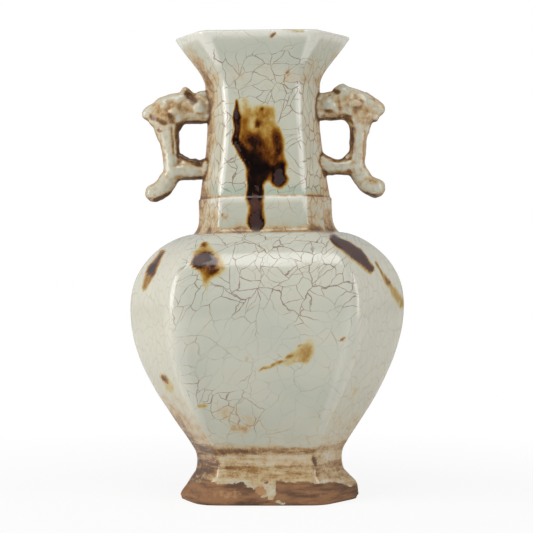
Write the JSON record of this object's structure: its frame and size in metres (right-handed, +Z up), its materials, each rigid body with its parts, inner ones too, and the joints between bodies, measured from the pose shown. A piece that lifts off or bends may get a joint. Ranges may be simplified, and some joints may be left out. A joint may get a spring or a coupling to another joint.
{
  "type": "vase",
  "caption": "Faceted baluster vase of crackle-glazed stoneware: flared mouth, long neck, stepped collar, full body, spreading foot and a beast-head handle each side.",
  "frame": {"origin": "centre of the foot's underside, on the surface that the vase stands on", "axes": "+Z up along the neck, +X through the handle on the right, -Y out of the broad front panel"},
  "size_m": [0.1782, 0.1142, 0.3],
  "materials": {
    "crackled_celadon": "glossy"
  },
  "bodies": {
    "root": {"vase": "crackled_celadon"}
  },
  "joints": []
}
